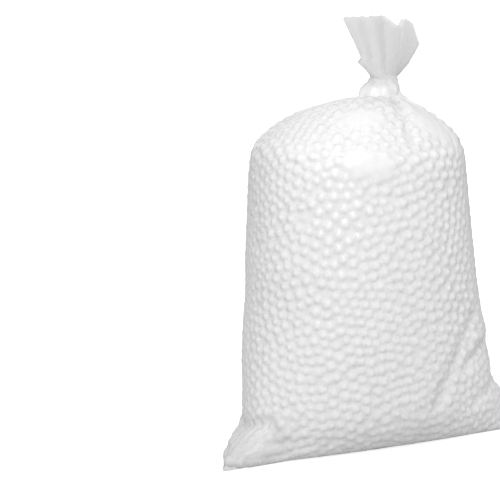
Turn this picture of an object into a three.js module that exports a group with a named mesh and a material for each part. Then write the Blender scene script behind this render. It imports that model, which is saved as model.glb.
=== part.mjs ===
// Bag of polystyrene beads: a clear film tube, sealed flat along its bottom edge, filled with foam beads,
// gathered above the fill, knotted in its own film and left with a flared tail.
// X runs along the bottom seal, Y from front to back, Z up. Millimetres.
import * as THREE from "three";

// Film
const FLAT_WIDTH = 206; // lay-flat width of the tube, which is the length of its bottom seal
const FILM = 0.4; // wall as modelled; the real film is about a tenth of a millimetre or less
const SEAL_SHARE = 4; // the sealed corners are flat, so what lies inside stops this many gaps short of them

// Filled body
const LOW_WIDTH = 159; // width and depth just above the base, without the corners
const LOW_DEPTH = 106;
const SHOULDER_WIDTH = 128;
const SHOULDER_DEPTH = 118;
const SHOULDER_HEIGHT = 180;
const BELLY = 2.5; // how far the sides swell above the ears, and up to which height
const BELLY_TOP = 110;
const LEAN = -3.5; // how far to the side the shoulder stands
const FRONT_TUCK = 27; // how far the front and back curve under, from the body to the edge of the flat base
const BACK_TUCK = 22;
const TUCK_HEIGHT = 30;
const SEAL_FORWARD = 24; // the seal lies this far in front of the middle
const SEAL_RISE = 90; // height where the sections are centred again
const LEFT_CORNER_HEIGHT = 40; // each sealed corner stands out as an ear up to this height
const RIGHT_CORNER_HEIGHT = 100;
const CORNER_EDGE = 4; // upright edge at the very tip of each ear
const CORNER_FLARE = 2.3; // 1 is a straight ear, more is one that flares towards its tip
const CREASE_DEPTH = 3; // valley between each ear and the body
const CREASE_WIDTH = 14;
const CREASE_FOOT = 0.4; // where the valley starts and ends, in shares of the body's half width
const CREASE_HEAD = 0.85;
const SEAL_EDGE = 0.7; // least distance from the seal to the front of its section

// Crown, knotted neck and tail
const CROWN_RISE = 31;
const CROWN_ROUNDNESS = 1.7; // 1 is a straight cone, 2 an elliptical dome
const NECK_X = 14.5; // the neck stands to the right of the middle
const NECK_LENGTH = 11;
const NECK_LEFT = 15; // reach of the neck's root from its axis
const NECK_RIGHT = 9;
const NECK_DEPTH = 20;
const PINCH_WIDTH = 16; // tightest place, above the knot
const PINCH_DEPTH = 13;
const KNOT_SWELL = 2.2; // how far the knot stands out from the neck
const KNOT_SIDE = 0.5; // share by which it stands out more on the left and less on the right
const PINHOLE = 1.2; // half width of the way left through the gathered film
const TAIL_LENGTH = 39;
const TAIL_LEFT = 26;
const TAIL_RIGHT = 22;
const TAIL_DEPTH = 13;
const TAIL_SPREAD = 0.8; // 1 is a straight fan, less is one that opens early
const TAIL_DROP = 16; // how much shorter the tail is at the right
const TAIL_DROP_SHARPNESS = 10;
const TAIL_NOTCH = 6; // one nick in the rim, on the right of the front
const TAIL_NOTCH_ANGLE = 1.675 * Math.PI;
const TAIL_NOTCH_SPREAD = 0.15;
const PLEATS = 10;
const CROWN_PLEAT = 1.5; // half height of the gathers at the neck and at the rim of the tail
const TAIL_PLEAT = 2.2;

// Beads
const BEAD = 7.1; // mean diameter, which is also the distance between neighbours
const BEAD_DIP = 3.6; // depth of the hollows between beads
const BEAD_SINK = 0.6; // how much lower than the film a single bead may sit
const BEAD_STRAY = 0.5; // how far a bead may stray from its place, in shares of the lattice's spacing
const FILL_GAP = 1.1; // between the film and the beads' tops at the sides
const SEAT_GAP = 0.3; // between the film and the fill at the base
const FILL_TOP = 1.9; // how far up the crown the beads reach, on the scale of bagPoint

const AROUND = 4 * PLEATS; // points around the film: a crest, a slope, a valley and a slope to each pleat
const SQUARENESS = 2.3; // exponent of the filled sections, where 2 is an ellipse
const POINTEDNESS = 1.25; // exponent across the section where it ends in a sealed corner

const mix = THREE.MathUtils.lerp;
const clamp01 = (value) => THREE.MathUtils.clamp(value, 0, 1);
const signedPower = (value, power) => Math.sign(value) * Math.abs(value) ** power;
// Share that is left at height z of something that fades out at height top.
const fade = (z, top) => clamp01(1 - z / top);

// One level section of the filled body, at height z, with everything moved inwards by inset and up by floor.
function bodyPoint(z, angle, inset, floor) {
  const c = Math.cos(angle);
  const s = Math.sin(angle);
  const cornerHeight = c > 0 ? RIGHT_CORNER_HEIGHT : LEFT_CORNER_HEIGHT;
  const corner = fade(z - CORNER_EDGE, cornerHeight - CORNER_EDGE) ** CORNER_FLARE;
  const climb = z / SHOULDER_HEIGHT;
  const belly = BELLY * Math.sin(Math.PI * fade(z, BELLY_TOP)) ** 2;
  const halfBody = mix(LOW_WIDTH, SHOULDER_WIDTH, climb) / 2 + belly;
  const halfDepth = mix(LOW_DEPTH, SHOULDER_DEPTH, climb) / 2 - inset;
  const reach = (FLAT_WIDTH - LOW_WIDTH) / 2 - (SEAL_SHARE - 1) * Math.min(inset, FILM + FILL_GAP);
  const outwards = (halfBody + reach * corner - inset) * signedPower(c, 2 / SQUARENESS);

  // The seal runs along the middle of each section, close behind the front where that curves under.
  const tucked = 1 - Math.sqrt(1 - fade(z - floor, TUCK_HEIGHT - floor) ** 2);
  const front = FRONT_TUCK * tucked - halfDepth;
  const back = halfDepth - BACK_TUCK * tucked;
  const middle = Math.max(-SEAL_FORWARD * fade(z, SEAL_RISE) ** 2, front + SEAL_EDGE);
  const across = mix(SQUARENESS, POINTEDNESS, corner);
  const fromCrease = Math.abs(outwards) - halfBody * mix(CREASE_HEAD, CREASE_FOOT, corner);
  const crease = CREASE_DEPTH * Math.sin(Math.PI * corner) * Math.exp(-((fromCrease / CREASE_WIDTH) ** 2));
  const reachAcross = (s < 0 ? middle - front : back - middle) - crease;
  return new THREE.Vector3(outwards + LEAN * climb, middle + reachAcross * signedPower(s, 2 / across), z);
}

// An ellipse of the neck or tail round the neck's axis, with its own reach to the left and right.
function neckPoint(z, angle, left, right, depth, inset) {
  const c = Math.cos(angle);
  return new THREE.Vector3(
    NECK_X + ((c < 0 ? left : right) - inset) * c,
    (depth / 2 - inset) * Math.sin(angle),
    z,
  );
}

const NECK_ROOT = SHOULDER_HEIGHT + CROWN_RISE;
const PINCH = NECK_ROOT + NECK_LENGTH;
const gather = (angle) => Math.cos(PLEATS * angle);

// The foot of the neck, where the crown ends.
function neckRoot(angle, inset) {
  return neckPoint(NECK_ROOT - inset, angle, NECK_LEFT, NECK_RIGHT, NECK_DEPTH, inset);
}

// The crown closes from the shoulder to the neck's root on a rounded slope, and its gathers deepen upwards.
function crownPoint(share, angle, inset) {
  const turn = (share * Math.PI) / 2;
  const closing = 1 - Math.cos(turn) ** (2 / CROWN_ROUNDNESS);
  const rise = Math.sin(turn) ** (2 / CROWN_ROUNDNESS);
  const point = bodyPoint(SHOULDER_HEIGHT, angle, inset, inset).lerp(neckRoot(angle, inset), closing);
  point.z = mix(SHOULDER_HEIGHT, NECK_ROOT - inset, rise) + CROWN_PLEAT * share ** 2 * gather(angle);
  return point;
}

// The neck narrows to the pinch, and the knot swells between the two.
function knotPoint(share, angle, inset) {
  const swell = KNOT_SWELL * Math.sin(Math.PI * share) * (1 - KNOT_SIDE * Math.cos(angle));
  const out = swell + CROWN_PLEAT * (1 - share) * gather(angle);
  return neckPoint(
    mix(NECK_ROOT - inset, PINCH, share),
    angle,
    mix(NECK_LEFT, PINCH_WIDTH / 2, share) + out,
    mix(NECK_RIGHT, PINCH_WIDTH / 2, share) + out,
    mix(NECK_DEPTH, PINCH_DEPTH, share) + 2 * out,
    inset,
  );
}

// The tail opens from the pinch into a pleated fan whose rim falls away to the right and has one notch.
function tailPoint(share, angle, inset) {
  const drop = TAIL_DROP * ((1 + Math.cos(angle)) / 2) ** TAIL_DROP_SHARPNESS;
  const notch = TAIL_NOTCH * Math.exp(-(((angle - TAIL_NOTCH_ANGLE) / TAIL_NOTCH_SPREAD) ** 2));
  const out = TAIL_PLEAT * share * gather(angle);
  const opening = share ** TAIL_SPREAD;
  return neckPoint(
    PINCH + (TAIL_LENGTH - drop - notch) * share,
    angle,
    mix(PINCH_WIDTH / 2, TAIL_LEFT, opening) + out,
    mix(PINCH_WIDTH / 2, TAIL_RIGHT, opening) + out,
    mix(PINCH_DEPTH, TAIL_DEPTH, opening) + 2 * out,
    inset,
  );
}

// A point of the bag: level 0 to 1 climbs the body, 1 to 2 the crown, 2 to 3 the neck and 3 to 4 the tail.
function bagPoint(level, angle, inset, floor = inset) {
  if (level <= 1) return bodyPoint(mix(floor, SHOULDER_HEIGHT, level), angle, inset, floor);
  if (level <= 2) return crownPoint(level - 1, angle, inset);
  if (level <= 3) return knotPoint(level - 2, angle, inset);
  return tailPoint(level - 3, angle, inset);
}

// Levels from first to last in equal steps, without the first.
function steps(first, last, count) {
  return Array.from({ length: count }, (_, i) => mix(first, last, (i + 1) / count));
}

// Levels of the tuck, in equal turns of its curve.
const TUCK_LEVEL = TUCK_HEIGHT / SHOULDER_HEIGHT;
const tuckSteps = (count) => steps(0, Math.PI / 2, count).map((turn) => TUCK_LEVEL * (1 - Math.cos(turn)));

// A ring of points at one level, where place gives each point from its angle.
const ring = (count, place) => Array.from({ length: count }, (_, i) => place((2 * Math.PI * i) / count));

// Joins rings with equal counts into one closed skin, with a pole at each end. A quad's diagonal joins its
// first and third corners, or its second and fourth where crossed says so.
function closedSkin(firstPole, rings, lastPole, crossed = () => false) {
  const count = rings[0].length;
  const points = [firstPole, ...rings.flat(), lastPole];
  const at = (row, i) => 1 + row * count + (i % count);
  const faces = [];
  for (let i = 0; i < count; i += 1) {
    faces.push(0, at(0, i + 1), at(0, i));
    for (let row = 0; row + 1 < rings.length; row += 1) {
      const quad = [at(row, i), at(row, i + 1), at(row + 1, i + 1), at(row + 1, i)];
      const order = crossed(i, row) ? [0, 1, 3, 1, 2, 3] : [0, 1, 2, 0, 2, 3];
      faces.push(...order.map((corner) => quad[corner]));
    }
    faces.push(at(rings.length - 1, i), at(rings.length - 1, i + 1), points.length - 1);
  }
  const geometry = new THREE.BufferGeometry().setFromPoints(points);
  geometry.setIndex(faces);
  geometry.computeVertexNormals();
  return geometry;
}

// The film: up the outside to the rim of the tail, over the rim, and down the inside through the pinhole.
function filmGeometry() {
  const cornerLevel = RIGHT_CORNER_HEIGHT / SHOULDER_HEIGHT;
  const levels = [
    0,
    ...tuckSteps(5),
    ...steps(TUCK_LEVEL, cornerLevel, 3),
    ...steps(cornerLevel, 1, 3),
    ...steps(1, 2, 6),
    ...steps(2, 3, 4),
    ...steps(3, 4, 4),
  ];
  const outside = levels.map((level) => ring(AROUND, (angle) => bagPoint(level, angle, 0)));
  const inside = levels.map((level) => ring(AROUND, (angle) => {
    if (level !== 3) return bagPoint(level, angle, FILM);
    return neckPoint(PINCH, angle, PINHOLE, PINHOLE, 2 * PINHOLE, 0);
  }));
  const under = new THREE.Vector3(0, 0, 0);
  const within = new THREE.Vector3(0, 0, FILM);
  return closedSkin(under, [...outside, ...inside.reverse()], within);
}

// A repeatable number from 0 to 1 for the bead at a column and row.
function scatter(column, row) {
  const wave = Math.sin(column * 12.9898 + row * 78.233) * 43758.5453;
  return wave - Math.floor(wave);
}

// Angles that divide a section halfway up the body into parts of equal length.
function evenAngles(count) {
  const fine = 16 * count;
  const turn = (2 * Math.PI) / fine;
  const place = (i) => bodyPoint(SHOULDER_HEIGHT / 2, i * turn, 0, 0);
  const run = [0];
  for (let i = 0; i < fine; i += 1) run.push(run[i] + place(i).distanceTo(place(i + 1)));
  return Array.from({ length: count }, (_, part) => {
    const wanted = (part / count) * run[fine];
    const i = run.findIndex((length) => length > wanted) - 1;
    return (i + (wanted - run[i]) / (run[i + 1] - run[i])) * turn;
  });
}

// The fill: beads stand in a diagonal lattice, so crests and hollows alternate along every row and column.
function fillGeometry() {
  const spacing = BEAD / Math.SQRT2;
  const columns = 2 * Math.round((Math.PI * (LOW_WIDTH + LOW_DEPTH)) / 4 / spacing);
  const crownSlope = Math.hypot(SHOULDER_WIDTH / 2 - NECK_RIGHT, CROWN_RISE);
  const levels = [
    0,
    ...tuckSteps(5),
    ...steps(TUCK_LEVEL, 1, Math.round((SHOULDER_HEIGHT - TUCK_HEIGHT) / spacing)),
    ...steps(1, FILL_TOP, Math.round(((FILL_TOP - 1) * crownSlope) / spacing)),
  ];
  const isCrest = (column, row) => (column + row) % 2 === 0;
  const hollow = FILM + FILL_GAP + BEAD_DIP;
  const angles = evenAngles(columns);
  const rings = levels.map((level, row) => angles.map((angle, column) => {
    if (row === 0 || !isCrest(column, row)) return bagPoint(level, angle, hollow, FILM + SEAT_GAP);
    const stray = BEAD_STRAY * (scatter(row, column) - 0.5) * ((2 * Math.PI) / columns);
    const crest = FILM + FILL_GAP + BEAD_SINK * scatter(column, row);
    return bagPoint(level, angle + stray, crest, FILM + SEAT_GAP);
  }));
  const summit = new THREE.Vector3(NECK_X, 0, rings.at(-1)[0].z);
  const seat = new THREE.Vector3(0, 0, FILM + SEAT_GAP);
  return closedSkin(seat, rings, summit, isCrest);
}

const clearFilm = new THREE.MeshStandardMaterial({
  name: "clear_polyethylene_film",
  color: 0xe9ecee,
  roughness: 0.2,
  metalness: 0,
  transparent: true,
  opacity: 0.3,
});
const whiteFoam = new THREE.MeshStandardMaterial({
  name: "white_polystyrene_foam",
  color: 0xf6f6f4,
  roughness: 0.75,
  metalness: 0,
});

function namedMesh(name, geometry, material) {
  const mesh = new THREE.Mesh(geometry, material);
  mesh.name = name;
  return mesh;
}

const bag = new THREE.Group();
bag.add(namedMesh("film_bag", filmGeometry(), clearFilm), namedMesh("bead_fill", fillGeometry(), whiteFoam));

// The origin is the middle of the bag's box, on the surface that it stands on.
const middle = new THREE.Box3().setFromObject(bag).getCenter(new THREE.Vector3());
bag.position.set(-middle.x, -middle.y, 0);

const part = new THREE.Group();
part.add(bag);
export default part;
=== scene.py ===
import math
import time

import bmesh
import bpy
import numpy as np
from mathutils import Matrix, Vector
from mathutils.bvhtree import BVHTree
from mathutils.kdtree import KDTree


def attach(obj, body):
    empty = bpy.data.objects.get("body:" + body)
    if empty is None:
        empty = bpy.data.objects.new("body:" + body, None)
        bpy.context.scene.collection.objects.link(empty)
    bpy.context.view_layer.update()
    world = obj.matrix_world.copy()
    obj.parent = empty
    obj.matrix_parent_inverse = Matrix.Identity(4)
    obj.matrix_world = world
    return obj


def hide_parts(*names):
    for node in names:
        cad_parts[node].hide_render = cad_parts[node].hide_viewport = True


started = time.time()
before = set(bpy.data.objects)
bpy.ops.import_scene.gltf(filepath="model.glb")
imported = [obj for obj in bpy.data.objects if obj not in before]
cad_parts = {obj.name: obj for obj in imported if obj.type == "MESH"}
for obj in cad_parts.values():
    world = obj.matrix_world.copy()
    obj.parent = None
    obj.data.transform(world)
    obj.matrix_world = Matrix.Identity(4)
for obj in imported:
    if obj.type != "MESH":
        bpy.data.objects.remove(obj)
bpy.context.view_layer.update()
mm = 0.001


def report(words):
    print(f"{time.time() - started:6.1f} s  {words}")


# rises from 0 at the start to 1 after the length
def ramp(value, start, length):
    return np.clip((value - start) / length, 0, 1)


# 1 in the middle, fading to both sides
def bell(value, middle, width):
    return np.exp(-(((value - middle) / width) ** 2))


# direction from the bag to a camera or a lamp, in degrees round from the front and up
def wayTo(azimuth, elevation):
    a, e = math.radians(azimuth), math.radians(elevation)
    return Vector((math.sin(a) * math.cos(e), -math.cos(a) * math.cos(e), math.sin(e)))


def newPiece(bm, name):
    mesh = bpy.data.meshes.new(name)
    bm.to_mesh(mesh)
    bm.free()
    piece = bpy.data.objects.new(name, mesh)
    bpy.context.collection.objects.link(piece)
    return piece


def applyModifiers(piece):
    finished = bpy.data.meshes.new_from_object(piece.evaluated_get(bpy.context.evaluated_depsgraph_get()))
    piece.modifiers.clear()
    piece.data = finished
    finished.name = piece.name


def readPoints(mesh, name="position"):
    field, width = ("vector", 3) if name == "position" else ("value", 1)
    values = np.empty(len(mesh.vertices) * width, dtype=np.float32)
    mesh.attributes[name].data.foreach_get(field, values)
    values = values.astype(np.float64)
    return values.reshape(-1, 3) if width == 3 else values


def setPoints(mesh, name, values):
    field = "vector" if name == "position" else "value"
    mesh.attributes[name].data.foreach_set(field, np.asarray(values, dtype=np.float32).ravel())
    mesh.update()


# camera first, at the photograph's angle; the bag stands right of the middle of the picture
photoView = {
    "target": Vector((0, 0, 130 * mm)),
    "azimuth": -24.8,
    "elevation": 11.0,
    "distance": 870 * mm,
    "aside": 69.5 * mm,  # how far left of the bag, and below it, the camera aims
    "below": 5.7 * mm,
    "roll": -0.9,
    "lens": 101.3,
    "sensor": 36,
    "nearest": 50 * mm,
}


def makeCamera():
    a = math.radians(photoView["azimuth"])
    back = wayTo(photoView["azimuth"], photoView["elevation"])
    right = Vector((math.cos(a), math.sin(a), 0))
    up = back.cross(right)
    eye = photoView["target"] + back * photoView["distance"]
    aim = photoView["target"] - right * photoView["aside"] - up * photoView["below"]
    data = bpy.data.cameras.new("photoCamera")
    data.lens = photoView["lens"]
    data.sensor_width = photoView["sensor"]
    data.clip_start = photoView["nearest"]
    camera = bpy.data.objects.new("photoCamera", data)
    bpy.context.collection.objects.link(camera)
    camera.location = eye
    turn = (aim - eye).to_track_quat("-Z", "Y").to_matrix().to_4x4()
    camera.rotation_euler = (turn @ Matrix.Rotation(math.radians(photoView["roll"]), 4, "Z")).to_euler()
    bpy.context.scene.camera = camera


makeCamera()


# film: the outer wall of the CAD film, refined, with folds and the print of the beads
filmShape = {
    "columns": 40,
    "tuckRing": 6,  # rings of the wall, counted up from the middle of the base
    "shoulderRing": 12,
    "neckRing": 18,
    "pinchRing": 22,
    "rimRing": 26,
    "wallCuts": 2,  # rings added between each two from the tuck to the shoulder
    "wideMiddle": 0.08,  # columns whose middle lies this near to the front's or the back's middle are halved
    "levels": 2,
    "shownRings": (0.9, 17.2),  # the beads print through from the base's edge to the crown
    "weld": 0.01 * mm,
}


# gives each vertex of the outer wall its ring, and its column, counted round from +X
def numberWall(bm):
    columns = filmShape["columns"]
    pole = min(bm.verts, key=lambda v: (round(v.co.z, 5), v.co.xy.length))
    ringOf, columnOf = {pole: 0}, {pole: -1}
    now = sorted({e.other_vert(pole) for e in pole.link_edges}, key=lambda v: math.atan2(v.co.y, v.co.x))
    first = min(range(columns), key=lambda i: abs(math.atan2(now[i].co.y, now[i].co.x)))
    for i, v in enumerate(now):
        ringOf[v] = 1
        columnOf[v] = (i - first) % columns
    for ring in range(2, filmShape["rimRing"] + 1):
        above = {e.other_vert(v) for v in now for e in v.link_edges if e.other_vert(v) not in ringOf}
        for v in above:  # it has an edge to its own column below and a diagonal to the one before
            a, b = (columnOf[o] for o in (e.other_vert(v) for e in v.link_edges) if ringOf.get(o) == ring - 1)
            columnOf[v] = b if (a + 1) % columns == b else a
        for v in above:
            ringOf[v] = ring
        now = above
    return ringOf, columnOf


def filmCage():
    slip = 0.1  # tolerance, in rings
    bm = bmesh.new()
    bm.from_mesh(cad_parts["film_bag"].data)
    bmesh.ops.remove_doubles(bm, verts=bm.verts, dist=filmShape["weld"])
    climb = bm.verts.layers.float.new("climb")
    east = bm.verts.layers.float.new("east")
    north = bm.verts.layers.float.new("north")
    ringOf, columnOf = numberWall(bm)
    bmesh.ops.delete(bm, geom=[v for v in bm.verts if v not in ringOf], context="VERTS")
    slanted = [
        e for e in bm.edges
        if ringOf[e.verts[0]] * ringOf[e.verts[1]]
        and ringOf[e.verts[0]] != ringOf[e.verts[1]]
        and columnOf[e.verts[0]] != columnOf[e.verts[1]]
    ]
    for v in bm.verts:
        turn = 2 * math.pi * columnOf[v] / filmShape["columns"]
        v[climb] = ringOf[v]
        v[east] = math.cos(turn)
        v[north] = math.sin(turn)
    bmesh.ops.dissolve_edges(bm, edges=slanted, use_verts=False)
    crease = bm.edges.layers.float.new("crease_edge")
    for e in bm.edges:
        if all(abs(v[climb] - 1) < slip for v in e.verts):  # round the base
            e[crease] = 1
    tall = []
    for e in bm.edges:
        low, high = sorted(v[climb] for v in e.verts)
        inWall = filmShape["tuckRing"] - slip < low and high < filmShape["shoulderRing"] + slip
        if inWall and high - low > slip:
            tall.append(e)
    bmesh.ops.subdivide_edges(bm, edges=tall, cuts=filmShape["wallCuts"], use_grid_fill=True)
    # the two widest columns at the front and at the back are halved from the base to the rim
    wide = [
        e for e in bm.edges
        if abs(e.verts[0][climb] - e.verts[1][climb]) < slip
        and abs(e.verts[0][east] + e.verts[1][east]) / 2 < filmShape["wideMiddle"]
    ]
    bmesh.ops.subdivide_edges(bm, edges=wide, cuts=1)
    report(f"film cage: {len(bm.faces)} faces, {sum(len(f.verts) == 4 for f in bm.faces)} of them quads")
    return bm


def refine(piece):
    finer = piece.modifiers.new("finer", "SUBSURF")
    finer.levels = finer.render_levels = filmShape["levels"]
    applyModifiers(piece)
    # once more where the beads print through
    bm = bmesh.new()
    bm.from_mesh(piece.data)
    climb = bm.verts.layers.float["climb"]
    lowest, highest = filmShape["shownRings"]
    shown = [e for e in bm.edges if all(lowest < v[climb] < highest for v in e.verts)]
    bmesh.ops.subdivide_edges(bm, edges=shown, cuts=1, use_grid_fill=True)
    bm.to_mesh(piece.data)
    bm.free()


film = newPiece(filmCage(), "film_sheet")
refine(film)
climb = readPoints(film.data, "climb")
angle = np.arctan2(readPoints(film.data, "north"), readPoints(film.data, "east"))


# creases where the ears turn up and below the knot: a path over the wall, and how far it stands out or in
creases = [
    {
        "path": [(-83, 6, 15), (-85.5, -5, 17.5), (-84.1, -12, 20), (-80.9, -23.1, 23.7), (-75.5, -30.4, 25.8)],
        "rise": -3 * mm, "width": 3.2 * mm,
    },
    {"path": [(-73, -32, 29.5), (-65, -39, 22.1)], "rise": 0.7 * mm, "width": 3 * mm},
    {"path": [(-67.7, -37.7, 19.5), (-52, -44, 19)], "rise": 0.7 * mm, "width": 2.2 * mm},
    {
        "path": [(56, -39, 78.6), (45, -47, 60.9), (35, -50.4, 44.2), (27.7, -51.6, 29.7)],
        "rise": -3.2 * mm, "width": 5 * mm,
    },
    {
        "path": [(68, -28, 60), (62.7, -36.5, 56.8), (55.8, -41.5, 53.1), (50, -44.5, 49)],
        "rise": -2.8 * mm, "width": 3.4 * mm,
    },
    {
        "path": [(18, -9, 214), (12, -30, 206.5), (8.6, -45, 197.5), (11, -50, 190.5), (17, -51, 185.5)],
        "rise": -2.8 * mm, "width": 2.3 * mm,
    },
    {"path": [(-16, -15, 208.5), (-23.5, -26.3, 204.3), (-33.9, -49.4, 188.4)], "rise": -1.5 * mm, "width": 2 * mm},
    {"path": [(26, -8, 212), (34, -30, 201), (42, -43, 186)], "rise": -0.9 * mm, "width": 1.8 * mm},
    {"path": [(-18, 2, 209), (-42, 4, 200), (-56, 6, 186)], "rise": -1 * mm, "width": 2.2 * mm},
    {
        "path": [(76, -28, 33), (71.2, -36.3, 29.7), (64.8, -40.2, 27.8), (58, -42.9, 25)],
        "rise": -2 * mm, "width": 3.2 * mm,
    },
]


# how the filled bag departs from the plain wall; out and in are across the wall
settled = {
    "mirroredBelow": 100 * mm,  # creases that start below this are at the back of the ears too
    # how far, at which ring and over how many rings each way
    "crownLean": (2.8 * mm, 15.6, 1.8),  # fuller to the left of the knot than to the right
    "shoulder": (1.9 * mm, 13, 0.9),  # corner where the film turns down on the left
    "frontIn": (-4.2 * mm, 12.9, 2.1),  # in at the front's shoulder and out towards the knot
    "frontOut": (2 * mm, 16.6, 1.1),
    "frontWay": (-0.42, -0.91),  # the way that the front faces, from the middle
    "middleX": 5 * mm,
    # height, and how far the left and the right wall stand out there, in mm
    "full": {
        -1: ([90, 115, 165, 190], [0, 1.5, 1.5, 0]),
        1: ([54, 59, 66, 78, 110, 135, 165, 190], [0, 0.6, 2.6, 2.4, 2.5, 2, 1.2, 0]),
    },
    "fullFrom": (45 * mm, 20 * mm),  # from the middle to where that starts, and on to where it is whole
    # height, and how far front and back are pushed out there, in mm, so that they stand nearly upright on the floor
    "foot": ([0, 1, 1.9, 3.2, 4.8, 6.1, 8.3, 10.8, 12.7], [3.8, 3, 2.6, 2.1, 1.6, 1.2, 0.8, 0.35, 0]),
    "footFrom": (6 * mm, 10 * mm),
    "blunt": 5 * mm,  # the left ear ends in a blunt corner
    "bluntHeight": (6 * mm, 3.5 * mm),
    "bluntSpread": 0.4,
    "earFrom": (62 * mm, 28 * mm),  # from the middle to where the left ear starts, and on to where it is whole
    "earTop": 33.6 * mm,
    "earFade": 24 * mm,
    "earFull": 1.8 * mm,
    "earMove": (-1.125 * mm, -2.5 * mm),
    # the sides draw in above the ears: how far, at which height over which half height, and how far out it starts
    "waists": [
        {"side": 1, "deep": 3.5 * mm, "height": (35 * mm, 10 * mm), "from": (68 * mm, 16 * mm)},
        {"side": -1, "deep": 3.2 * mm, "height": (19 * mm, 7 * mm), "from": (70 * mm, 12 * mm)},
    ],
}


def readNormals():
    return np.array([v.vector for v in film.data.vertex_normals], dtype=np.float64)


def fromPath(points, path):
    near = np.full(len(points), np.inf)
    for a, b in zip(path[:-1], path[1:]):
        share = np.clip((points - a) @ (b - a) / ((b - a) @ (b - a)), 0, 1)
        near = np.minimum(near, np.linalg.norm(points - a - share[:, None] * (b - a), axis=1))
    return near


def leftEar(points):
    return ramp(-points[:, 0], *settled["earFrom"]) * ramp(-points[:, 2], -settled["earTop"], settled["earFade"])


def creaseWall(plain):
    x, y, z = plain.T
    across = np.cos(angle)
    lift = np.zeros(len(plain))
    for crease in creases:
        path = np.array(crease["path"]) * mm
        near = fromPath(plain, path)
        if path[0, 2] < settled["mirroredBelow"]:
            near = np.minimum(near, fromPath(plain * (1, -1, 1), path))
        lift += crease["rise"] * bell(near, 0, crease["width"])
    out = np.stack([x - settled["middleX"], y], axis=1)
    atFront = np.clip(out @ settled["frontWay"] / np.maximum(np.hypot(*out.T), 1 * mm), 0, 1) ** 2
    shares = {
        "crownLean": -across,
        "shoulder": np.clip(-across, 0, 1) ** 3,
        "frontIn": atFront,
        "frontOut": atFront,
    }
    for name, share in shares.items():
        far, ring, rings = settled[name]
        lift += far * share * bell(climb, ring, rings)
    for side, outline in settled["full"].items():
        lift += np.interp(z / mm, *outline) * mm * ramp(side * x, *settled["fullFrom"])
    ear = leftEar(plain)
    wayOut = readNormals()
    lift += settled["earFull"] * ear * np.abs(wayOut[:, 1])
    creased = plain + wayOut * lift[:, None]
    foot = np.interp(z / mm, *settled["foot"]) * mm * (climb > filmShape["shownRings"][0])
    creased[:, 1] += foot * np.sign(y) * ramp(np.abs(y), *settled["footFrom"])
    corner = bell(z, *settled["bluntHeight"]) * bell(np.sin(angle), 0, settled["bluntSpread"]) * (across < 0)
    creased[:, 0] -= settled["blunt"] * corner
    creased[:, :2] += ear[:, None] * settled["earMove"]
    for waist in settled["waists"]:
        drawn = waist["deep"] * bell(z, *waist["height"]) * ramp(waist["side"] * x, *waist["from"])
        creased[:, 0] -= waist["side"] * drawn
    creased[:, 2] = np.maximum(creased[:, 2], 0)
    return creased


wall = creaseWall(readPoints(film.data))
setPoints(film.data, "position", wall)
normals = readNormals()
report(f"film: {len(film.data.polygons)} faces, climb {climb.min():.2f} to {climb.max():.2f}")

# beads: an outer layer pressed against the film and a second one behind it
beadPacking = {
    "radius": 3.45 * mm,
    "spread": 0.12,  # standard deviation, in shares of the radius
    "limits": (0.74, 1.2),
    "squeeze": (0.96, 1.04),
    "subdivisions": 2,
    "cling": 0.25 * mm,  # from a bead's top to the film
    "loose": 0.15 * mm,  # how far some of the outer ones lie from the film
    "cover": 0.855,  # share of the wall that the outer layer covers
    "behindShare": 0.95,  # beads behind for each outer one
    "behind": 5.7 * mm,  # from the outer layer's middle to the second layer's, to start with
    "give": (0.3, 0.5),  # share of an overlap that an outer bead, and one behind, moves by in a step
    "pressure": 0.12 * mm,  # how far each step presses those behind into the hollows
    "steps": 70,
    "room": 0.93,  # a bead with less room than this, in radii, is left out
    "top": 17.3,  # ring that the fill reaches up to
    "seed": 7,
}


def treeOf(points):
    kd = KDTree(len(points))
    for i, p in enumerate(points):
        kd.insert(p, i)
    kd.balance()
    return kd


def wallFaces():
    polygons = (tuple(p.vertices) for p in film.data.polygons)
    return [corners for corners in polygons if max(climb[i] for i in corners) < filmShape["neckRing"]]


# points spread evenly over the wall below the top of the fill, and that wall's area
def scatterOnWall(faces, count, rng):
    corners = np.array([f[:3] for f in faces] + [(f[0], f[2], f[3]) for f in faces if len(f) == 4])
    corners = corners[climb[corners].max(axis=1) < beadPacking["top"]]
    a, b, c = (wall[corners[:, i]] for i in range(3))
    area = np.linalg.norm(np.cross(b - a, c - a), axis=1) / 2
    pick = rng.choice(len(corners), size=count, p=area / area.sum())
    u, v = rng.random(count), rng.random(count)
    over = u + v > 1
    u[over], v[over] = 1 - u[over], 1 - v[over]
    return a[pick] + (b - a)[pick] * u[:, None] + (c - a)[pick] * v[:, None], area.sum()


# how far each bead is pushed by those that it overlaps
def overlapPush(place, radius):
    kd = treeOf(place)
    largest = beadPacking["radius"] * beadPacking["limits"][1]
    pairs = [(i, j) for i, p in enumerate(place) for _, j, _ in kd.find_range(p, radius[i] + largest) if j > i]
    first, second = np.array(pairs).T
    way = place[first] - place[second]
    gap = np.maximum(np.linalg.norm(way, axis=1), 1e-6)
    close = np.maximum(radius[first] + radius[second] - gap, 0)
    way *= (close / gap)[:, None]
    push = np.zeros_like(place)
    np.add.at(push, first, way)
    np.add.at(push, second, -way)
    return push


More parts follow.
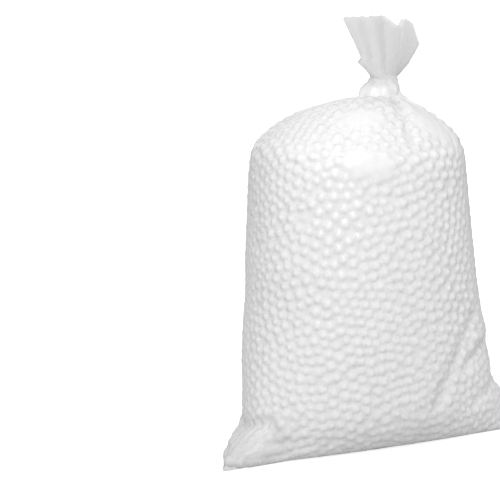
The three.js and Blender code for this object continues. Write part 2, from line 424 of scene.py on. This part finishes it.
def packBeads():
    rng = np.random.default_rng(beadPacking["seed"])
    faces = wallFaces()
    tree = BVHTree.FromPolygons([Vector(p) for p in wall], faces)
    _, area = scatterOnWall(faces, 1, rng)
    mean, spread = beadPacking["radius"], beadPacking["spread"]
    outerCount = int(beadPacking["cover"] * area / (math.pi * mean**2 * (1 + spread**2)))
    count = int(outerCount * (1 + beadPacking["behindShare"]))
    outer = np.arange(count) < outerCount
    radius = mean * np.clip(1 + spread * rng.standard_normal(count), *beadPacking["limits"])
    loose = beadPacking["loose"] * rng.random(count) ** 2
    depth = radius + beadPacking["cling"] + np.where(outer, loose, beadPacking["behind"])
    start, _ = scatterOnWall(faces, count, rng)
    place = np.empty((count, 3))
    for i, p in enumerate(start):
        at, normal, _, _ = tree.find_nearest(Vector(p))
        place[i] = at - normal * depth[i]
    give = np.where(outer, *beadPacking["give"])[:, None]
    for _ in range(beadPacking["steps"]):
        place += overlapPush(place, radius) * give
        for i, p in enumerate(place):
            p = Vector(p)
            at, normal, _, far = tree.find_nearest(p)
            inwards = (p - at) / max(far, 1e-7)
            if inwards.dot(normal) > 0:  # squeezed out through the film
                inwards, far = -inwards, -far
            pressed = max(far - beadPacking["pressure"], depth[i] - beadPacking["behind"])
            place[i] = at + inwards * (depth[i] if outer[i] else pressed)
            place[i, 2] = max(place[i, 2], radius[i])
    room = np.array([tree.find_nearest(Vector(p))[3] for p in place])
    keep = room > radius * beadPacking["room"]
    report(f"beads: {outerCount} outer, {count - outerCount} behind, {int((~keep).sum())} left out for want of room")
    return place[keep], radius[keep], outer[keep]


place, radius, outer = packBeads()


def makeBeads(name, chosen):
    rng = np.random.default_rng(len(chosen))
    bm = bmesh.new()
    bmesh.ops.create_icosphere(bm, subdivisions=beadPacking["subdivisions"], radius=1)
    for f in bm.faces:
        f.smooth = True
    piece = newPiece(bm, name)
    many = piece.modifiers.new("many", "ARRAY")
    many.count = len(chosen)
    many.use_relative_offset = False
    applyModifiers(piece)
    # each copy is squeezed a little, turned, sized and put in its place
    ball = readPoints(piece.data).reshape(len(chosen), -1, 3)
    squeeze = rng.uniform(*beadPacking["squeeze"], (len(chosen), 1, 3))
    turn = np.linalg.qr(rng.standard_normal((len(chosen), 3, 3)))[0]
    ball = np.einsum("bij,bvj->bvi", turn, ball * squeeze) * radius[chosen, None, None] + place[chosen, None, :]
    setPoints(piece.data, "position", ball)
    piece.data.attributes.new("tone", "FLOAT", "POINT")
    setPoints(piece.data, "tone", np.repeat(rng.random(len(chosen)), ball.shape[1]))
    report(f"{name}: {len(chosen)} beads, {len(piece.data.polygons)} faces")
    return piece


order = np.arange(len(place))
beadPieces = [
    makeBeads("beads_front", order[outer & (place[:, 1] < 0)]),
    makeBeads("beads_back", order[outer & (place[:, 1] >= 0)]),
    makeBeads("beads_behind", order[~outer]),
]

# print: the film lies on the beads and dips between them
beadPrint = {
    "sag": 1.78 * mm,  # how deep it dips
    "slack": ([20, 90, 170], [0.85, 0.92, 0.98]),  # height in mm and share of the sag, tighter under the weight
    "tightWay": (0.91, -0.42),  # the film is tight down the sides that face this way and the opposite one
    "tightFrom": (0.88, 0.09),
    "tightShare": 0.78,
    "reach": 8 * mm,  # it lies flat where no bead's middle is as near as this
    "fade": 2 * mm,
    "spot": 2.2 * mm,  # how far round its top the painted highlight dot and painted shade ring reach
    "milky": 0.8 * mm,  # from a bead to where the film hides it most
    "rounds": 7,  # of smoothing
    # where the print starts and over how far it becomes whole: rings below the neck and above the base, heights above
    # the floor, and places out from the middle beyond which the ears have it down to the floor
    "belowNeck": (17.5, 1.6),
    "aboveBase": (1, 0.8),
    "aboveFloor": (0.5 * mm, 6 * mm),
    "ears": (60 * mm, 30 * mm),
}


# for each vertex: how far the film moves out, where it would touch a bead, and the mask of painted highlight and
# painted shade round each bead's top, strongest where a bead presses firmly on the film
def printBeads():
    kd = treeOf(place)
    count = len(wall)
    touch, nearest = np.full(count, -1.0), np.full(count, 1.0)  # a metre off where there is no bead
    paintedBeadLight = np.zeros(count)
    for i in np.flatnonzero(climb < filmShape["neckRing"]):
        p, n = wall[i], normals[i]
        for _, j, gap in kd.find_range(p, beadPrint["reach"]):
            nearest[i] = min(nearest[i], gap)
            along = float((p - place[j]) @ n)
            reach = radius[j] + beadPacking["cling"]
            side = gap * gap - along * along
            if side < reach * reach:
                touch[i] = max(touch[i], math.sqrt(reach * reach - side) - along)
                firm = min(max(1 + (reach - along) / beadPrint["sag"], 0), 1)
                paintedBeadLight[i] = max(paintedBeadLight[i], firm * math.exp(-side / beadPrint["spot"] ** 2))
    slack = np.interp(wall[:, 2] / mm, *beadPrint["slack"])
    sideways = np.abs(normals[:, :2] @ beadPrint["tightWay"])
    slack *= 1 - beadPrint["tightShare"] * ramp(sideways, *beadPrint["tightFrom"]) * (1 - leftEar(wall))
    dip = -beadPrint["sag"] * slack * ramp(-nearest, -beadPrint["reach"], beadPrint["fade"])
    dip = np.maximum(dip, touch)
    ends = np.empty(len(film.data.edges) * 2, dtype=np.int32)
    film.data.edges.foreach_get("vertices", ends)
    ends = ends.reshape(-1, 2)
    links = np.bincount(ends.ravel(), minlength=count)
    for _ in range(beadPrint["rounds"]):
        total = np.zeros(count)
        np.add.at(total, ends[:, 0], dip[ends[:, 1]])
        np.add.at(total, ends[:, 1], dip[ends[:, 0]])
        dip = np.maximum(0.5 * dip + 0.5 * total / links, touch)
    return dip, touch, paintedBeadLight


# crown: creases run from the knot down over the shoulders
crown = {
    "seed": 11,
    "count": 28,
    "height": 1.0 * mm,
    "heights": (0.4, 1),
    "signs": [1, 1, -0.8],  # two stand out for each that lies in
    "reach": (0.35, 1.25),  # how far down from the neck, 1 is to the shoulder
    "width": (0.03, 0.085),  # radians
    "shift": 0.4,  # off its even place, in shares of the way to the next
    "slant": 0.15,
    "lastRing": 21,
    "fadeRings": 3,
}


def wrapped(turn):
    return (turn + math.pi) % (2 * math.pi) - math.pi


def crownFolds():
    rng = np.random.default_rng(crown["seed"])
    up = (climb - filmShape["shoulderRing"]) / (filmShape["neckRing"] - filmShape["shoulderRing"])
    rise = np.zeros(len(wall))
    for k in range(crown["count"]):
        middle = 2 * math.pi * (k + rng.uniform(-crown["shift"], crown["shift"])) / crown["count"]
        reach = rng.uniform(*crown["reach"])
        width = rng.uniform(*crown["width"])
        height = rng.uniform(*crown["heights"]) * rng.choice(crown["signs"])
        slant = rng.uniform(-crown["slant"], crown["slant"])
        along = ramp(up, 1 - reach, reach)
        off = np.abs(wrapped(angle - middle - slant * (1 - up)))
        rise += height * along**1.5 * np.exp(-((off / (width * (1.3 - 0.5 * along))) ** 1.4))
    return crown["height"] * rise * ramp(-climb, -crown["lastRing"], crown["fadeRings"])


# knot: a soft bulb with one turn of film slanting round it
knot = {
    "bulb": 3.2 * mm,
    # for each side how far it stands out, in bulbs, its place up the neck, from 0 to 1, and its half length there
    "left": (0.55, 0.72, 0.24),
    "right": (-1.6, 0.45, 0.42),
    "faces": (0.25, 0.55, 0.4),
    "foot": (1.1, 0.02, 0.3),  # film runs smoothly into the knot at the front
    "turn": 0.5 * mm,
    "turnWidth": 0.17,
    "pleats": 11,
    "pleat": 0.22 * mm,
}


def knotFolds():
    up = (climb - filmShape["neckRing"]) / (filmShape["pinchRing"] - filmShape["neckRing"])
    inNeck = np.clip(1 - np.abs(up - 0.5) / 1.1, 0, 1) ** 0.7
    sides = {
        "left": np.clip(-np.cos(angle), 0, 1),
        "right": np.clip(np.cos(angle), 0, 1),
        "faces": np.abs(np.sin(angle)),
        "foot": np.clip(0.4 - np.sin(angle), 0, 1),
    }
    bulb = sum(knot[name][0] * share * bell(up, *knot[name][1:]) for name, share in sides.items())
    turn = bell(up, 0.5 + 0.3 * np.cos(angle + 0.9), knot["turnWidth"])
    # pleats of two spacings, shifted so that no two are alike
    pleats = np.sin(knot["pleats"] * angle + 5 * up + 1.3 * np.sin(2 * angle))
    pleats += 0.5 * np.sin(2.4 * knot["pleats"] * np.abs(angle) - 3 * up + 2)
    return inNeck * (knot["bulb"] * bulb + knot["turn"] * turn + knot["pleat"] * pleats * (1 - 0.6 * turn))


# tail: a flattened tube of film that fans out, its outline given as half widths and rim heights
tail = {
    "middleX": 14.5 * mm,
    "footZ": 222 * mm,
    # share of the way up, and the half width there in mm
    "leftHalf": ([0, 0.18, 0.25, 0.31, 0.34, 0.38, 0.51, 1], [8.6, 13.5, 16.4, 19.4, 17.4, 17, 19.2, 28.4]),
    "rightHalf": ([0, 0.2, 0.43, 0.81, 1], [8.6, 13, 17.8, 22.6, 24.3]),
    # place across, from the left fold to the right one, and the rim's height there in mm
    "rimHeight": (
        [-1, -0.97, -0.5, 0, 0.32, 0.46, 0.55, 0.82, 1],
        [259.5, 261, 261, 260.8, 255.5, 253, 259.5, 256, 243],
    ),
    "layerShift": 0.02,  # how far the rims of front and back lie apart
    "pressed": 0.6,  # how much closer the two layers lie at the rim
    "pleats": 6,
    "pleat": 0.11 * mm,
    "sidePleat": 0.6 * mm,
    "wave": 1.8 * mm,
    "waveLength": 9 * mm,  # for each radian
    "jag": 0.35 * mm,
    "join": 0.12,  # share of the way up over which it takes over from the neck
    "bunched": (20, 2.6),  # ring from which the film looks bunched, and over how many rings
}


def fanTail(points):
    up = ramp(climb, filmShape["pinchRing"], filmShape["rimRing"] - filmShape["pinchRing"])
    across, deep = np.cos(angle), np.sin(angle)
    half = np.where(across < 0, np.interp(up, *tail["leftHalf"]), np.interp(up, *tail["rightHalf"])) * mm
    rim = np.interp(across + tail["layerShift"] * np.sign(deep) * (1 - across**2), *tail["rimHeight"]) * mm
    pleats = np.sin(tail["pleats"] * angle + 0.9 * np.sin(3 * angle))
    pleats += 0.6 * np.sin(2.3 * tail["pleats"] * np.abs(angle) + 1)
    pleats *= tail["pleat"] * (0.35 + 0.65 * np.sin(math.pi * up) ** 0.5)
    x = tail["middleX"] + half * across - tail["sidePleat"] * deep * up * np.sin(5 * angle + 1)
    y = points[:, 1] * (1 - tail["pressed"] * up) + deep * pleats
    y += tail["wave"] * up**1.5 * np.sin((x - tail["middleX"]) / tail["waveLength"] + 0.5)
    z = tail["footZ"] + (rim - tail["footZ"]) * up
    z += tail["jag"] * up**3 * (np.sin(11 * angle + 0.6) + 0.7 * np.sin(23 * angle + 2.1)) * (1 - across**4)
    joined = ramp(up, 0, tail["join"])[:, None]
    return points + (np.stack([x, y, z], axis=1) - points) * joined


# places where the film is stretched below the knot and doesn't follow the beads, and whose colour is painted whiter as
# a painted highlight: a line along it and its half width
tautPlaces = [
    {"line": [(-22, -31, 204), (-11, -36, 204)], "half": 8.5 * mm},
    {"line": [(-26, -50, 181), (-13, -54, 179)], "half": 9.5 * mm},
    {"line": [(22, -22, 208), (28, -39, 198), (40, -38, 190)], "half": 11 * mm},
    {"line": [(4, 22, 208), (-12, 46, 197)], "half": 8 * mm},
    {"line": [(28, 20, 208), (36, 44, 192)], "half": 6 * mm},
]
tautHold = {
    "print": 0.88,  # share of the print and of the folds that stretching takes away
    "folds": 0.6,
    "knotRing": 19.3,
    "knotRings": 2,
}


def tautness():
    hold = np.clip(1.3 - np.abs(climb - tautHold["knotRing"]) / tautHold["knotRings"], 0, 1)
    for spot in tautPlaces:
        off = fromPath(wall, np.array(spot["line"]) * mm) / spot["half"]
        hold = np.maximum(hold, np.clip(1.8 - 1.4 * off, 0, 1))  # whole at 0.57 of the half width, gone at 1.29
    return hold


# flat margin at the two ears, where front and back are welded together and the film is greyer for being doubled; the
# whole left ear is painted greyer too, as painted shade
seal = {"leftHeight": 34 * mm, "rightHeight": 78 * mm, "width": 0.22, "ear": 0.95}


def sealedEdge():
    height = np.where(wall[:, 0] < 0, seal["leftHeight"], seal["rightHeight"])
    margin = bell(np.sin(angle), 0, seal["width"]) * np.clip(2 - 2 * wall[:, 2] / height, 0, 1)
    # painted shade: the whole left ear is greyed
    return np.maximum(margin, seal["ear"] * leftEar(wall)) * np.clip(climb, 0, 1)


# shapes the film, and keeps on its vertices what its finish reads
def shapeFilm():
    dip, touch, paintedBeadLight = printBeads()
    taut = tautness()
    lastRing, rings = beadPrint["belowNeck"]
    printed = ramp(-climb, -lastRing, rings) * ramp(climb, *beadPrint["aboveBase"])
    ears = ramp(np.abs(wall[:, 0]), *beadPrint["ears"])
    lowest, height = beadPrint["aboveFloor"]
    printed *= np.clip((wall[:, 2] - lowest) / height + ears, 0, 1)
    lift = dip * printed * (1 - tautHold["print"] * taut) + crownFolds() * (1 - tautHold["folds"] * taut) + knotFolds()
    lift = np.maximum(lift, touch)  # no bead comes through the film
    shaped = fanTail(wall + normals * lift[:, None])
    shaped[:, 2] = np.maximum(shaped[:, 2], 0)
    setPoints(film.data, "position", shaped)
    looks = {
        "bunch": ramp(climb, *tail["bunched"]),
        "taut": taut,
        "seal": sealedEdge(),
        "apart": np.maximum(ramp(dip, touch, beadPrint["milky"]), taut),
        "paintedBeadLight": paintedBeadLight * printed * (1 - taut),
    }
    for name, values in looks.items():
        film.data.attributes.new(name, "FLOAT", "POINT")
        setPoints(film.data, name, values)
    film.data.polygons.foreach_set("use_smooth", [True] * len(film.data.polygons))
    film.data.update()


shapeFilm()
report("film printed over the beads, creased and fanned")


def colour(code):
    parts = [int(code[i:i + 2], 16) / 255 for i in (1, 3, 5)]
    return (*[c / 12.92 if c <= 0.04045 else ((c + 0.055) / 1.055) ** 2.4 for c in parts], 1)


# each input takes another node's output or a plain value
def addNode(tree, kind, inputs=(), **settings):
    node = tree.nodes.new(kind)
    for name, value in settings.items():
        setattr(node, name, value)
    for name, value in dict(inputs).items():
        if isinstance(value, bpy.types.NodeSocket):
            tree.links.new(value, node.inputs[name])
        else:
            node.inputs[name].default_value = value
    return node


def newMaterial(name):
    material = bpy.data.materials.new(name)
    material.use_nodes = True
    material.node_tree.nodes.clear()
    return material, material.node_tree


# blown low-density polyethylene: a soft gloss and a milky haze, greyer where many layers are bunched; with painted
# highlight dots and painted shade rings at the bead tops, painted highlight where it is stretched and painted shade
# over the left ear
def filmFinish():
    material, tree = newMaterial("clear_polyethylene_film")
    names = ("bunch", "seal", "taut", "apart", "paintedBeadLight", "east", "north", "climb")
    field = {name: addNode(tree, "ShaderNodeAttribute", attribute_name=name).outputs["Fac"] for name in names}
    bunch, taut = field["bunch"], field["taut"]
    doubledAndEarShade = addNode(tree, "ShaderNodeMath", {0: bunch, 1: field["seal"]}, operation="MAXIMUM").outputs[0]
    # hardly a mirror seen straight on, a little more where it is stretched, most at a grazing angle
    facing = addNode(tree, "ShaderNodeLayerWeight", {"Blend": 0.5}).outputs["Facing"]
    grazing = addNode(tree, "ShaderNodeMath", {0: facing, 1: 4}, operation="POWER").outputs[0]
    straight = addNode(tree, "ShaderNodeMapRange", {"Value": taut, "To Min": 0.03, "To Max": 0.07}).outputs[0]
    mirror = addNode(tree, "ShaderNodeMapRange", {"Value": grazing, "To Min": straight, "To Max": 0.45}).outputs[0]
    # clearer where it touches a bead
    cloudy = addNode(tree, "ShaderNodeMapRange", {"Value": field["apart"], "To Min": 0.7, "To Max": 0.92}).outputs[0]
    haze = addNode(tree, "ShaderNodeMapRange", {"Value": bunch, "To Min": cloudy, "To Max": 0.82}).outputs[0]
    # painted highlight and painted shade: a white dot painted where a bead presses on the film, and a greyer ring
    # round it where the film lifts off over the bead's shaded side
    pale = addNode(tree, "ShaderNodeValToRGB", {"Fac": field["paintedBeadLight"]})
    stops = pale.color_ramp.elements
    stops[0].color, stops[1].color = colour("#f8f8f8"), colour("#fafafa")
    stops[1].position = 0.84
    for share, code in ((0.16, "#f8f8f8"), (0.4, "#f7f7f7"), (0.64, "#f8f8f8")):
        stops.new(share).color = colour(code)
    # sockets 6 and 7 of a mix are its two colours, and output 2 is their mix
    # painted highlight: where the film is stretched, at the knot and the taut places, its colour is painted whiter for
    # the broad reflection of the lamps there
    white = {"Factor": taut, 6: pale.outputs["Color"], 7: colour("#fcfcfc")}
    paintedTautHighlight = addNode(tree, "ShaderNodeMix", white, data_type="RGBA").outputs[2]
    # greyer where the film is bunched or welded double, and painted shade over the left ear
    grey = {"Factor": doubledAndEarShade, 6: paintedTautHighlight, 7: colour("#e3e3e3")}
    shade = addNode(tree, "ShaderNodeMix", grey, data_type="RGBA").outputs[2]
    # stretch lines run along the tube of film: some 60 around it, each about twice as long as it is wide
    slow = addNode(tree, "ShaderNodeMath", {0: field["climb"], 1: 0.28}, operation="MULTIPLY").outputs[0]
    tube = addNode(tree, "ShaderNodeCombineXYZ", {0: field["east"], 1: field["north"], 2: slow}).outputs[0]
    lines = addNode(tree, "ShaderNodeTexNoise", {"Vector": tube, "Scale": 60 / (2 * math.pi), "Detail": 3})
    # handled film, with creases 3 mm apart, deepest in the tail
    spot = addNode(tree, "ShaderNodeTexCoord").outputs["Object"]
    crinkle = addNode(tree, "ShaderNodeTexNoise", {"Vector": spot, "Scale": 1 / (3 * mm), "Detail": 4})
    both = {0: lines.outputs["Fac"], 1: crinkle.outputs["Fac"]}
    worn = addNode(tree, "ShaderNodeMath", both, operation="ADD").outputs[0]
    depth = addNode(tree, "ShaderNodeMapRange", {"Value": bunch, "To Min": 0.06, "To Max": 0.75}).outputs[0]
    relief = {"Height": worn, "Strength": depth, "Distance": 0.6 * mm}
    bump = addNode(tree, "ShaderNodeBump", relief).outputs[0]
    clear = addNode(tree, "ShaderNodeBsdfTransparent").outputs[0]
    milky = addNode(tree, "ShaderNodeBsdfDiffuse", {"Color": shade, "Normal": bump}).outputs[0]
    through = addNode(tree, "ShaderNodeBsdfTranslucent", {"Color": shade}).outputs[0]
    cloud = addNode(tree, "ShaderNodeMixShader", {0: 0.15, 1: milky, 2: through}).outputs[0]
    veil = addNode(tree, "ShaderNodeMixShader", {0: haze, 1: clear, 2: cloud}).outputs[0]
    glint = addNode(tree, "ShaderNodeBsdfGlossy", {"Normal": bump, "Roughness": 0.15}).outputs[0]
    sheen = addNode(tree, "ShaderNodeBsdfGlossy", {"Normal": bump, "Roughness": 0.4}).outputs[0]
    soft = addNode(tree, "ShaderNodeMath", {0: taut, 1: doubledAndEarShade}, operation="MAXIMUM").outputs[0]
    gloss = addNode(tree, "ShaderNodeMixShader", {0: soft, 1: glint, 2: sheen}).outputs[0]
    whole = addNode(tree, "ShaderNodeMixShader", {0: mirror, 1: veil, 2: gloss}).outputs[0]
    addNode(tree, "ShaderNodeOutputMaterial", {"Surface": whole})
    return material


# expanded polystyrene, loose beads blown with steam: matt white cells with a faint sheen, no two quite the same white
def beadFinish():
    material, tree = newMaterial("expanded_polystyrene_beads")
    tone = addNode(tree, "ShaderNodeAttribute", attribute_name="tone").outputs["Fac"]
    whites = {"Factor": tone, 6: colour("#f7f7f7"), 7: colour("#fdfdfd")}
    white = addNode(tree, "ShaderNodeMix", whites, data_type="RGBA").outputs[2]
    spot = addNode(tree, "ShaderNodeTexCoord").outputs["Object"]
    cellSize = 0.7 * mm  # three times as coarse as real cells, which are too fine to show
    cells = addNode(tree, "ShaderNodeTexVoronoi", {"Vector": spot, "Scale": 1 / cellSize}).outputs["Distance"]
    skin = addNode(tree, "ShaderNodeBump", {"Height": cells, "Strength": 0.35, "Distance": 0.06 * mm}).outputs[0]
    foam = addNode(tree, "ShaderNodeBsdfPrincipled", {"Base Color": white, "Normal": skin, "Roughness": 0.55})
    addNode(tree, "ShaderNodeOutputMaterial", {"Surface": foam.outputs[0]})
    return material


film.data.materials.clear()
film.data.materials.append(filmFinish())
foamWhite = beadFinish()
for piece in beadPieces:
    piece.data.materials.append(foamWhite)
    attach(piece, "root")
    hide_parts("bead_fill")
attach(film, "root")
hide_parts("film_bag")

# studio: pale floor, even white surroundings, a soft light above the camera, a small one that the gloss catches
# and one behind the bag that shines through the film
studio = {
    "surround": 0.717,
    "floorGlow": 0.8,
    "floorRadius": 60,
    "lamps": [
        {"name": "softbox", "watts": 1.25, "size": 0.35, "distance": 0.6, "way": (-26, 40), "gloss": True},
        {"name": "catchlight", "watts": 0.2, "size": 0.08, "distance": 0.5, "way": (-26, 22), "gloss": True},
        {"name": "backlight", "watts": 1.1, "size": 0.4, "distance": 0.8, "way": (158, 35), "gloss": False},
    ],
}


def makeRoom():
    world = bpy.data.worlds.new("whiteRoom")
    world.use_nodes = True
    tree = world.node_tree
    tree.nodes.clear()
    seen = addNode(tree, "ShaderNodeLightPath").outputs["Is Camera Ray"]
    strength = addNode(tree, "ShaderNodeMapRange", {"Value": seen, "To Min": studio["surround"], "To Max": 1})
    room = addNode(tree, "ShaderNodeBackground", {"Color": (1, 1, 1, 1), "Strength": strength.outputs[0]})
    addNode(tree, "ShaderNodeOutputWorld", {"Surface": room.outputs[0]})
    bpy.context.scene.world = world


def makeLamps():
    for lamp in studio["lamps"]:
        data = bpy.data.lights.new(lamp["name"], "AREA")
        data.energy = lamp["watts"]
        data.size = lamp["size"]
        data.shape = "DISK"
        way = wayTo(*lamp["way"])
        light = bpy.data.objects.new(lamp["name"], data)
        bpy.context.collection.objects.link(light)
        light.visible_glossy = lamp["gloss"]
        light.location = photoView["target"] + way * lamp["distance"]
        light.rotation_euler = (-way).to_track_quat("-Z", "Y").to_euler()


# matt paper that glows in the picture alone, so that it ends in plain white
def makeFloor():
    bm = bmesh.new()
    bmesh.ops.create_circle(bm, cap_ends=True, segments=64, radius=studio["floorRadius"])
    floor = newPiece(bm, "floor")
    material, tree = newMaterial("white_paper_sweep")
    seen = addNode(tree, "ShaderNodeLightPath").outputs["Is Camera Ray"]
    glow = addNode(tree, "ShaderNodeMath", {0: seen, 1: studio["floorGlow"]}, operation="MULTIPLY").outputs[0]
    matt = {"Base Color": colour("#d2d2d2"), "Roughness": 0.9}
    bright = {"Emission Color": (1, 1, 1, 1), "Emission Strength": glow}
    paper = addNode(tree, "ShaderNodeBsdfPrincipled", {**matt, **bright})
    addNode(tree, "ShaderNodeOutputMaterial", {"Surface": paper.outputs[0]})
    floor.data.materials.append(material)


def setLightPaths():
    cycles = bpy.context.scene.cycles
    cycles.max_bounces = 16
    cycles.diffuse_bounces = 12
    cycles.transparent_max_bounces = 32  # sight lines cross many layers of film in the tail
    settings = bpy.context.scene.view_settings
    settings.view_transform = "Standard"
    settings.look = "None"


makeRoom()
makeLamps()
makeFloor()
setLightPaths()
report("studio lit")
